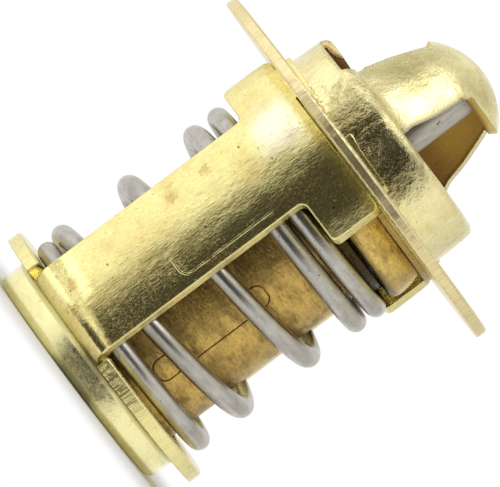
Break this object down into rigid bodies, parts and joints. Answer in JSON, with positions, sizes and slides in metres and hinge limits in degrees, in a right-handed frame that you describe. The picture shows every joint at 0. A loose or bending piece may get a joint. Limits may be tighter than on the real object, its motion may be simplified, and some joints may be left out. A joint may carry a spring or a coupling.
{
  "type": "engine thermostat",
  "caption": "Brass sleeve-type coolant thermostat: round flange, domed crown with two windows, two-legged cage, coil spring, sprung valve head and sliding sleeve.",
  "frame": {"origin": "centre of the flange's underside, where the flange seats in the housing", "axes": "+Z along the axis towards the domed crown; the crown's straps and the cage's legs lie along Y"},
  "size_m": [0.054, 0.054, 0.0663],
  "materials": {
    "crown_brass": "drawn sheet, bright outside, golden brown inside",
    "flange_brass": "bright with fine scratches",
    "cage_brass": "polished, grain along the legs, sheared edge on the ring",
    "spring_steel": "drawn wire",
    "valve_brass": "dull, tarnished",
    "sleeve_brass": "dull with small pits",
    "element_brass": "turned and drawn, semi-bright",
    "clip_steel": "plain",
    "boot_rubber": "smooth",
    "wax": "wax with copper powder",
    "piston_steel": "ground, with small pits"
  },
  "bodies": {
    "frame": {"crown": "crown_brass", "flange": "flange_brass", "cage": "cage_brass", "piston": "piston_steel", "coil_spring": "spring_steel"},
    "valve": {"valve_head": "valve_brass", "sleeve": "sleeve_brass", "element_plate": "valve_brass", "element_guide": "element_brass", "retaining_clip": "clip_steel", "element_case": "element_brass", "rubber_boot": "boot_rubber", "wax_charge": "wax"}
  },
  "joints": [
    {"name": "valve_slide", "type": "slide", "parent": "frame", "child": "valve", "axis": [0, 0, -1], "range_m": [0, 0.009], "stiffness_N_per_m": 4900, "springref_m": -0.012, "deforming": ["coil_spring"]}
  ]
}
